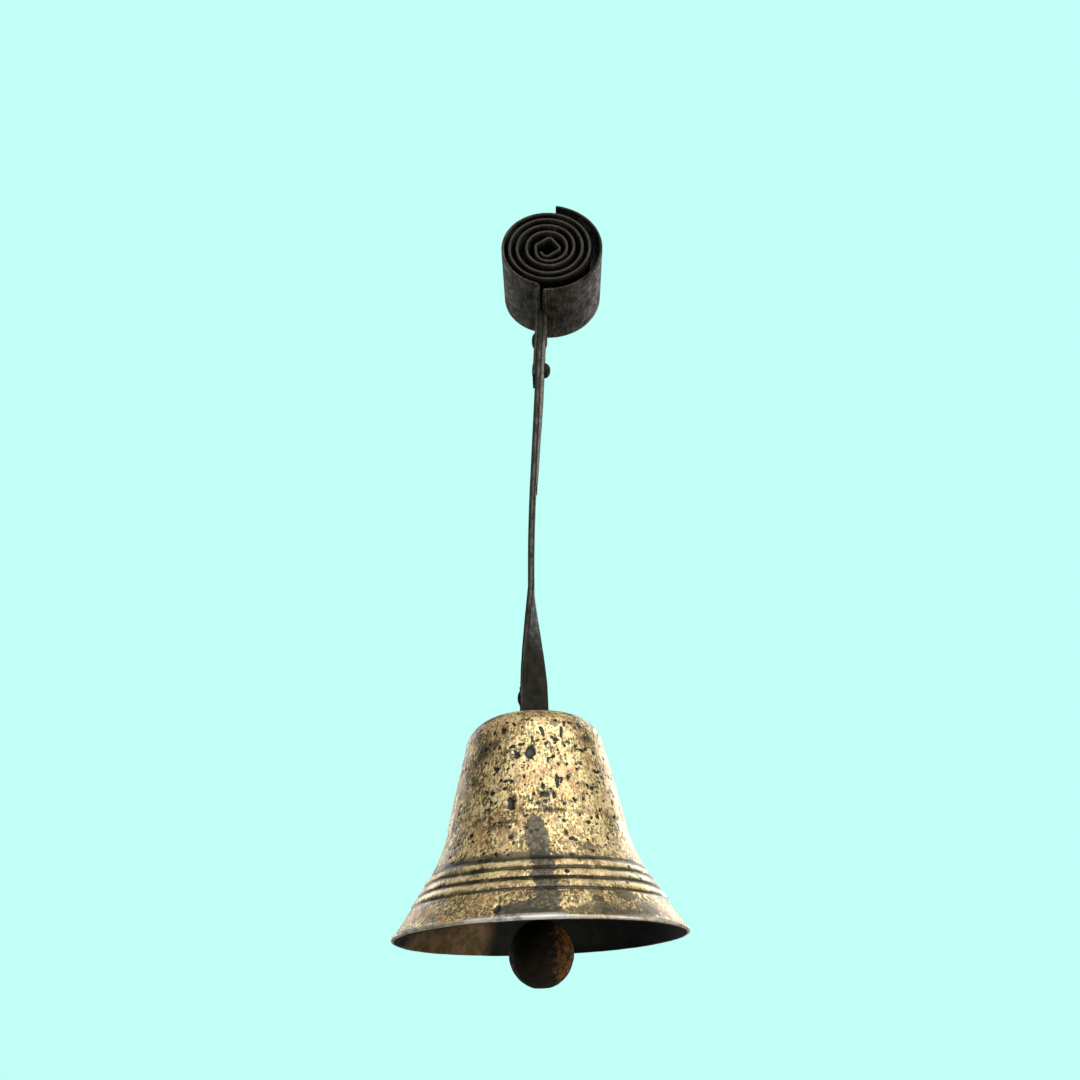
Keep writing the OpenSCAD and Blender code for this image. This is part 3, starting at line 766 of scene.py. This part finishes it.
def rivet_profile(length, head_top, head_bottom):
    """(radius, level) down a rivet from its top head to its bottom head, about its middle.
    A head is (radius, height)."""
    turns = math.pi / 2 * np.linspace(0, 1, 9)
    top = [(head_top[0] * math.sin(a), length / 2 + head_top[1] * math.cos(a)) for a in turns]
    bottom = [(head_bottom[0] * math.sin(a), -length / 2 - head_bottom[1] * math.cos(a)) for a in turns]
    shank = [(RIVET_R, length / 2 - 0.02), (RIVET_R, -length / 2 + 0.02)]
    top[0] = (0, top[0][1])
    bottom[0] = (0, bottom[0][1])
    return top + shank + bottom[::-1]


def make_rivet(node, matrix, length, head_top, head_bottom, seed):
    """A rivet along Z, with uneven hammered heads, placed by a matrix."""
    points, faces = lathe(rivet_profile(length, head_top, head_bottom), 48)
    radius = np.hypot(points[:, 0], points[:, 1])
    proud = smooth(np.abs(points[:, 2]), length / 2, length / 2 + 0.4)
    hammered = 0.10 * fractal(points, 2.2, 2, seed) * proud
    points[:, :2] *= (1 + np.where(radius > 0.01, hammered / np.maximum(radius, 1), 0))[:, None]
    points[:, 2] -= np.abs(hammered) * np.sign(points[:, 2]) * 0.8
    edge = 0.5 * proud * smooth(radius, 1.2, 3.0)
    build(node + "_hammered", place(points, matrix), faces, "bell", node, IRON,
          {"edge": edge})


def make_rivets():
    """Two rivets through tail, arm and leaf, and one through the arm and the hanger's tang."""
    lean = Matrix.Rotation(math.radians(90 + LEAN_A), 4, "Y")
    for node, rise, right_head, left_head, seed in (("upper_rivet", 10, (3.0, 0.7), (3.3, 1.3), 40),
                                                    ("lower_rivet", -5.6, (3.3, 2.6), (2.9, 0.5), 50)):
        z = LAP_Z + rise
        spot = Matrix.Translation((float(arm_x(z)), 0, z))
        make_rivet(node, spot @ lean, STACK, right_head, left_head, seed)
    spot = Matrix.Translation((PLUMB_X, 0, HANGER_RIVET_Z))
    turn = Matrix.Rotation(-math.radians(TWIST), 4, "Z") @ Matrix.Rotation(math.radians(90), 4, "Y")
    back = Matrix.Translation((0, 0, ARM_T / 2 - TANG_STACK / 2))
    make_rivet("hanger_rivet", spot @ turn @ back, TANG_STACK, (3.6, 0.0), (5.0, 1.9), 60)


make_rivets()


# ---- the bell

WALL_T = 2.8
# Slopes of skirt and waist, the height where they would meet, and how far along each of them the
# round between them reaches.
SKIRT_SLOPE, WAIST_SLOPE, MEET_H, WAIST_ARC = 0.646, 0.222, 24.8, 11.7
BELL_H = CROWN_Z - MOUTH_Z
CROWN_T, SHOULDER_R, HOLE_R = 3.5, 12.0, 4.3
BEAD_H, LIP_R = 0.7, 0.8
ARC_COS = (math.cos(math.atan(SKIRT_SLOPE)), math.cos(math.atan(WAIST_SLOPE)))


def wall_r(h, inset):
    """Radius of the wall at a height: straight skirt, large arc, straight waist."""
    skirt = MOUTH_R - inset - SKIRT_SLOPE * h
    waist = MOUTH_R - inset - SKIRT_SLOPE * MEET_H - WAIST_SLOPE * (h - MEET_H)
    s = (h - (MEET_H - WAIST_ARC * ARC_COS[0])) / (WAIST_ARC * sum(ARC_COS))
    if s <= 0:
        return skirt
    if s >= 1:
        return waist
    return skirt + (SKIRT_SLOPE - WAIST_SLOPE) * s * s / 2 * WAIST_ARC * sum(ARC_COS)


def bead(h):
    """How far the beads stand out at a height: three round beads with sharp valleys."""
    if not BEAD_EDGES[0] < h < BEAD_EDGES[3]:
        return 0.0
    i = 0 if h < BEAD_EDGES[1] else 1 if h < BEAD_EDGES[2] else 2
    s = (h - BEAD_EDGES[i]) / (BEAD_EDGES[i + 1] - BEAD_EDGES[i])
    return BEAD_H * (1.25 * math.sqrt(max(0.0, 1 - (2 * s - 1) ** 2)) - 0.25)


def shoulder(inset, top, radius):
    """The round between waist and crown, for a wall this far in from the outside."""
    a = math.degrees(math.atan(WAIST_SLOPE))
    corner = MOUTH_R - inset - SKIRT_SLOPE * MEET_H - WAIST_SLOPE * (top - MEET_H)
    return arc((corner - radius * math.tan(math.radians((90 - a) / 2)), top - radius), radius, a, 90, 40)


def bell_profiles():
    """Outside and inside lines of the bell, as (radius, height), from the lip to the crown's hole.
    The points lie closest in the beads."""
    lip = arc((MOUTH_R - LIP_R, LIP_R), LIP_R, -90, 25, 6)
    spans = ((1.6, 9.4, 0.7), (9.5, 21.2, 0.29), (21.6, BELL_H - SHOULDER_R, 0.62))
    rise = np.concatenate([np.arange(start, end, step) for start, end, step in spans])
    flank = [(wall_r(h, 0) + bead(h), h) for h in rise]
    top, _ = resample(shoulder(0, BELL_H, SHOULDER_R), 0.62)
    flat = [(r, BELL_H) for r in np.linspace(top[-1][0], HOLE_R, 10)[1:]]
    outside = np.concatenate([lip, flank, top, flat])
    inner_top = BELL_H - CROWN_T
    foot = MOUTH_R - WALL_T - 0.4
    inner_wall = [(wall_r(h, WALL_T), h) for h in np.arange(1.0, inner_top - SHOULDER_R, 2.4)]
    inside = np.concatenate([[(MOUTH_R - 1.35, 0), (MOUTH_R - 1.9, 0), (foot, 0)], inner_wall,
                             resample(shoulder(WALL_T, inner_top, SHOULDER_R - 2), 2.4)[0],
                             [(HOLE_R, inner_top)]])
    return outside, inside


# Large pits at the front, as (degrees to the right of the front, height, width, height of the pit).
LARGE_PITS = (
    (-3, 56.5, 4.0, 5.0), (-12, 55.5, 3.0, 1.0), (15, 46.5, 1.6, 5.0), (23, 48, 1.8, 1.8),
    (-15, 39, 3.0, 5.0), (6, 41.5, 3.6, 1.6), (12, 41.5, 1.4, 2.4), (-1, 42, 1.1, 1.4),
    (-36, 61.5, 1.6, 1.3), (26, 61, 1.3, 1.2), (-1, 62, 1.1, 1.5), (3, 61, 1.3, 0.8),
    (11, 60.4, 1.1, 0.7), (16, 60.2, 1.5, 0.8), (18, 57.5, 1.0, 1.4), (51, 58.5, 1.7, 2.0),
    (42, 59, 2.2, 1.2), (47, 51.5, 1.2, 1.8), (-27, 51, 1.2, 1.5), (-28, 54, 1.2, 1.5),
    (14, 55, 1.6, 1.1), (10, 53.5, 1.3, 0.8), (18, 38.5, 1.2, 1.4), (37, 45.5, 1.4, 1.7),
    (59, 41.5, 1.5, 1.9), (25, 40, 0.9, 2.6), (4, 47, 1.0, 1.4), (-7, 48, 0.8, 1.8), (-33, 44, 1.3, 1.7),
    (31, 53, 1.3, 0.9), (5, 44.5, 1.3, 1.8), (17, 52.5, 1.1, 1.2), (-41, 30, 2.0, 1.6),
    (17, 28.5, 1.6, 2.2), (41, 35, 1.6, 1.6), (44, 28, 1.4, 2.0), (-15, 4, 2.4, 3.2), (-38, 55, 1.4, 1.2),
    (-30, 38, 1.6, 1.3), (-22, 33, 1.4, 1.1),
)
# Brown and grey blots at the front, given the same way.
BLOTS = (
    (-23, 65.5, 4, 5), (-29, 61.5, 5, 3.5), (18, 67.5, 5, 2.4), (-44, 49, 5, 4.5), (-27, 31.5, 6, 2.6),
    (-13, 28, 4, 3.2), (9, 36.5, 5, 3), (28, 24, 9, 4.5), (-14, 20, 12, 5.5), (34, 13.5, 8, 3.5),
    (-9, 3.5, 11, 4.5), (22, 3.5, 16, 4), (46, 4, 9, 5), (-40, 60, 8, 9), (46, 63, 7, 4), (-62, 26, 9, 6),
    (45, 16, 19, 6), (66, 13, 14, 7), (24, 11.5, 9, 2.6), (38, 8, 12, 3), (-52, 17.5, 7, 2.4),
    (-33, 12, 8, 2.4),
)
SMALL_PITS = 640
BELL_SEGMENTS = 440


def bell_pits():
    """Middles, half sizes and depths of all pits: the named large ones, then small ones everywhere."""
    random = np.random.default_rng(728)
    pits = [(math.radians(a), h, w / 2, t / 2, 0.40) for a, h, w, t in LARGE_PITS]
    for _ in range(SMALL_PITS):
        a = random.uniform(-math.pi, math.pi)
        h = 4 + 66 * random.beta(2.0, 1.25)
        size = 0.40 + 0.60 * random.beta(1.1, 4.0)
        pits.append((a, h, size * random.uniform(0.8, 1.6), size, 0.14 + 0.14 * random.random()))
    return pits


def turned(angle):
    """An angle, or an array of them, brought to between minus and plus half a turn."""
    return (angle + math.pi) % (2 * math.pi) - math.pi


def bell_relief(points, around, radius, height, outer):
    """How far the cast surface lies inside its outline, and how near each point is to a pit."""
    sink = 0.05 * (1 + fractal(points, 9, 3, 70)) * np.where(outer, 1, 2.5)
    sink += 0.03 * (1 + noise(points, 1.6, 74))
    on_beads = smooth(height, 9, 10) * smooth(-height, -21.5, -20.3) * outer
    sink += on_beads * (0.12 * (1 + noise(points, 2.6, 76)) + 0.14 * (1 + noise(points, 9, 77))) / 2
    pit = np.zeros(len(points))
    for a, h, half_w, half_t, depth in bell_pits():
        across, rise = turned(around - a) * radius, height - h
        near = outer & (np.abs(rise) < half_t * 2 + 0.6) & (np.abs(across) < half_w * 2 + 0.6)
        index = np.nonzero(near)[0]
        ragged = 1 + 0.38 * noise(points[index], 0.9, 80) + 0.2 * noise(points[index], 0.5, 81)
        away = np.hypot(across[index] / half_w, rise[index] / half_t) * ragged
        hollow = 1 - smooth(away, 0.55, 1.15)
        sink[index] = np.maximum(sink[index], sink[index] * (1 - hollow) + depth * hollow * 1.4)
        pit[index] = np.maximum(pit[index], 1 - away / 1.6)
    return sink, pit


def bell_blots(around, radius, height):
    """1 at the middle of a blot, half at its border, 0 at twice its size."""
    blot = np.zeros(len(around))
    for a, h, width, tall in BLOTS:
        across = turned(around - math.radians(a)) * radius
        blot = np.maximum(blot, 1 - np.hypot(across / (width / 2), (height - h) / (tall / 2)) / 2)
    return blot


def bell_marks(around, radius, height, outer):
    """Layers for the painted dark reflection, soot, tarnished patches with painted shade, the lip with
    its painted highlight, and painted light inside. The brass makes them ragged.
    """
    degrees, aside = np.degrees(around), np.sin(around)
    # the painted dark reflection: plumb, at the front, leaning left and pointed at its top
    rise, point = smooth(height, 8, 34), smooth(height, 31, 37)
    left = -1.0 - 6.0 * rise - 15 * smooth(-height, -7, -4) + 5 * point
    right = 8.0 - 2.5 * rise - 4 * point
    painted_reflection = smooth(degrees, left - 4, left + 4) * smooth(-degrees, -right - 4, -right + 4)
    painted_reflection *= smooth(-height, -39, -31) * outer
    # soot: above the beads, and in patches over the lip
    above_beads = smooth(-height, -24.5, -21.0) * smooth(height, 19.6, 20.4) * (0.64 - 0.20 * aside)
    patches = 0.34 + 0.30 * smooth(degrees, -22, 0) * smooth(-degrees, -75, -40)
    soot = np.maximum(above_beads, smooth(-height, -6.0, -2.5) * patches)
    soot = soot * outer * smooth(height, 0.9, 1.4)
    # tarnished patches on the right of the beads and at the upper left of the waist; painted shade,
    # darker at the left and at the foot; painted light, lighter at the right
    tarnish_and_shade = 0.5 + 0.5 * smooth(-aside, 0.2, 0.8) - 0.25 * smooth(aside, 0.25, 0.75)
    beads_right = 0.5 * smooth(aside, 0.35, 0.7) * smooth(-height, -21, -19)
    waist_left = 0.30 * smooth(height, 48, 64) * smooth(-aside, 0.1, 0.6)
    tarnish_and_shade += smooth(-height, -14, -8) + beads_right + waist_left
    # the lip: pale worn metal with a painted highlight, which is widest at the front, where worn is
    # highest
    worn = smooth(degrees, -34, -18) * smooth(-degrees, -16, -7)
    lip = 1 - smooth(height - 0.1 - 0.8 * worn, 0.75, 1.15)
    lip = lip * smooth(radius, MOUTH_R - 1.30, MOUTH_R - 0.80) * (0.62 + 0.38 * worn)
    # painted light: the inner left wall, lit through the mouth
    warm = smooth(-degrees, 92, 110) * (1 - smooth(-degrees, 148, 158)) * ~outer
    return {"painted_reflection": painted_reflection, "soot": soot, "tarnish_and_shade": np.clip(tarnish_and_shade, 0, 1.6), "lip": np.clip(lip, 0, 1),
            "warm": warm}


def make_bell():
    """The cast shell: a turned outline with worn beads, uneven faces and pits."""
    outside, inside = bell_profiles()
    profile = np.concatenate([outside, inside[::-1]])
    angles = np.arange(BELL_SEGMENTS) * 2 * math.pi / BELL_SEGMENTS - math.pi / 2
    rings = [np.stack([r * np.cos(angles), r * np.sin(angles), np.full(BELL_SEGMENTS, h)], 1)
             for r, h in profile]
    points, faces = skin(rings, loop=True)
    around = turned(np.tile(angles + math.pi / 2, len(profile)))
    radius, height = np.hypot(points[:, 0], points[:, 1]), points[:, 2]
    outer = np.repeat(np.arange(len(profile)) < len(outside), BELL_SEGMENTS)
    sink, pit = bell_relief(points, around, radius, height, outer)
    tangent = np.gradient(profile, axis=0)
    tangent /= np.linalg.norm(tangent, axis=1)[:, None]
    out_r, out_h = np.repeat(tangent[:, 1], BELL_SEGMENTS), np.repeat(-tangent[:, 0], BELL_SEGMENTS)
    azimuth = around - math.pi / 2
    out = np.stack([np.cos(azimuth) * out_r, np.sin(azimuth) * out_r, out_h], 1)
    points = points - out * sink[:, None]
    points[:, 0] += BELL_X
    points[:, 2] += MOUTH_Z
    build("bell_shell_cast", points, faces, "bell", "bell_shell", BRASS,
          {"pit": np.clip(pit, 0, 1), "blot": bell_blots(around, radius, height) * outer,
           "height": np.where(outer, height, -9), **bell_marks(around, radius, height, outer),
           "inside": np.where(outer, 0.0, 1.0)})


make_bell()


# ---- the clapper

BALL_BORE_R = 2.63  # the hole in the ball's top, whose rim ends its box
BALL_FLAT = 0.45  # how much is hammered flat below


def make_ball():
    """A lumpy forged ball, flat below, where the stem's end is hammered over it."""
    work = bmesh.new()
    bmesh.ops.create_icosphere(work, subdivisions=6, radius=1)
    points = np.array([v.co[:] for v in work.verts])
    faces = [[v.index for v in f.verts] for f in work.faces]
    work.free()
    centre = middle("clapper_ball")
    ball_r = (high("clapper_ball")[0] - low("clapper_ball")[0]) / 2
    lumps = 0.16 * (1 + fractal(points * ball_r, 6, 3, 110)) / 2
    lumps += 0.12 * (1 + noise(points * ball_r, 1.6, 114)) / 2
    points *= (ball_r - lumps)[:, None]
    points[:, 2] = np.maximum(points[:, 2], -ball_r + BALL_FLAT)
    centre[2] = high("clapper_ball")[2] - math.sqrt(ball_r ** 2 - BALL_BORE_R ** 2)
    points += centre
    # rust and painted light: the ball is more orange on its right side, as if lit from the right
    side = (points[:, 0] - centre[0]) / ball_r
    build("clapper_ball_forged", points, faces, "clapper", "clapper_ball", RUST,
          {"rust": smooth(side, -0.15, 0.6)})


make_ball()


# ---- fittings at the crown and in the bell

VOXEL, WORN_OFF = 0.32, 0.07


def soften(node, body, material, dent, seed):
    """A copy of a CAD piece with a fine even mesh, rounded corners and uneven faces."""
    draft = bpy.data.objects.new("draft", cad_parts[node].data.copy())
    draft.matrix_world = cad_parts[node].matrix_world
    bpy.context.scene.collection.objects.link(draft)
    remesh = draft.modifiers.new("even", "REMESH")
    remesh.mode = "VOXEL"
    remesh.voxel_size = VOXEL * METRE
    round_off = draft.modifiers.new("round", "SMOOTH")
    round_off.factor, round_off.iterations = 0.5, 3
    bpy.context.view_layer.update()
    mesh = draft.evaluated_get(bpy.context.evaluated_depsgraph_get()).to_mesh()
    points = np.array([draft.matrix_world @ v.co for v in mesh.vertices]) / METRE
    normals = np.array([v.normal[:] for v in mesh.vertices])
    faces = [tuple(f.vertices) for f in mesh.polygons]
    bpy.data.objects.remove(draft)
    inwards = WORN_OFF + dent * (1 + fractal(points, 3, 3, seed)) / 2
    build(node + "_worn", points - normals * inwards[:, None], faces, body, node, material)


soften("crown_hanger", "bell", DARK_IRON, 0.12, 120)
soften("iron_washer", "bell", DARK_IRON, 0.08, 124)
soften("hanger_nut", "bell", DARK_IRON, 0.10, 128)
soften("leather_washer", "bell", LEATHER, 0.22, 132)
soften("clapper_stem", "clapper", RUST, 0.12, 136)
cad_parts["clapper_pin"].data.materials.clear()
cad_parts["clapper_pin"].data.materials.append(RUST)


# ---- floor, light and camera

CENTRE = Vector((BELL_X * METRE, 0, (cad_low[2] + cad_high[2]) / 2))
MOUTH = Vector((BELL_X, 0, MOUTH_Z)) * METRE
FLOOR_DROP = 1.0  # metres; the bell hangs well above the floor


def make_floor():
    """A wide plain floor far below the bell."""
    bpy.ops.mesh.primitive_plane_add(size=40, location=(0, 0, cad_low[2] - FLOOR_DROP))
    floor = bpy.context.object
    floor.name = "floor"
    floor.data.materials.append(floor_material())


def area_light(name, azimuth, elevation, distance, size, power, colour=(1, 1, 1), aim=CENTRE):
    """A soft light that faces a point. Azimuth 0 is the viewer's side and positive is to the right."""
    a, e = math.radians(azimuth), math.radians(elevation)
    light = bpy.data.lights.new(name, "AREA")
    light.shape = "RECTANGLE"
    light.size, light.size_y = size
    light.energy = power
    light.color = colour
    lamp = bpy.data.objects.new(name, light)
    towards = Vector((math.sin(a) * math.cos(e), -math.cos(a) * math.cos(e), math.sin(e)))
    lamp.location = aim + distance * towards
    lamp.rotation_euler = (aim - lamp.location).to_track_quat("-Z", "Y").to_euler()
    bpy.context.scene.collection.objects.link(lamp)


def make_world():
    """A weak warm-white light on the object from all round, and a pale blue backdrop for the camera."""
    world = bpy.data.worlds.new("studio")
    bpy.context.scene.world = world
    world.use_nodes = True
    nodes, links = world.node_tree.nodes, world.node_tree.links
    nodes.clear()
    mix = nodes.new("ShaderNodeMixShader")
    for slot, colour, strength in ((1, (1.0, 0.98, 0.93, 1), 0.13), (2, (0.54, 1.0, 0.93, 1), 1.0)):
        shade = nodes.new("ShaderNodeBackground")
        shade.inputs["Color"].default_value = colour
        shade.inputs["Strength"].default_value = strength
        links.new(shade.outputs[0], mix.inputs[slot])
    path = nodes.new("ShaderNodeLightPath")
    out = nodes.new("ShaderNodeOutputWorld")
    links.new(path.outputs["Is Camera Ray"], mix.inputs[0])
    links.new(mix.outputs[0], out.inputs["Surface"])


def make_camera():
    """Below the mouth and looking up, tilted a little about its line of sight."""
    pitch, roll = math.radians(26.67), math.radians(2.15)
    ahead = Vector((0, math.cos(pitch), math.sin(pitch)))
    right = Vector((1, 0, 0))
    above = right.cross(ahead)
    turned_right = right * math.cos(roll) - above * math.sin(roll)
    turned_up = right * math.sin(roll) + above * math.cos(roll)
    camera = bpy.data.objects.new("camera", bpy.data.cameras.new("camera"))
    camera.data.lens = 36.24
    camera.data.sensor_width = 36
    camera.data.clip_start = 0.01
    turn = Matrix((turned_right, turned_up, -ahead)).transposed().to_4x4()
    spot = Vector((BELL_X + 4.76, -385.7, MOUTH_Z - 43.93)) * METRE
    camera.matrix_world = Matrix.Translation(spot) @ turn
    bpy.context.scene.collection.objects.link(camera)
    bpy.context.scene.camera = camera


bpy.context.scene.view_settings.view_transform = "Standard"
make_floor()
make_world()
area_light("key", 18, 40, 1.3, (2.4, 1.0), 28, (1.0, 0.98, 0.92))
area_light("left_rim", -142, 12, 1.2, (0.35, 1.2), 5.5)
area_light("right_rim", 144, 16, 1.2, (0.25, 1.0), 8)
area_light("right_low", 62, -22, 0.42, (0.15, 0.15), 0.55, (1.0, 0.92, 0.82), MOUTH)
area_light("left_fill", -80, 5, 1.6, (0.8, 0.8), 1)
make_camera()
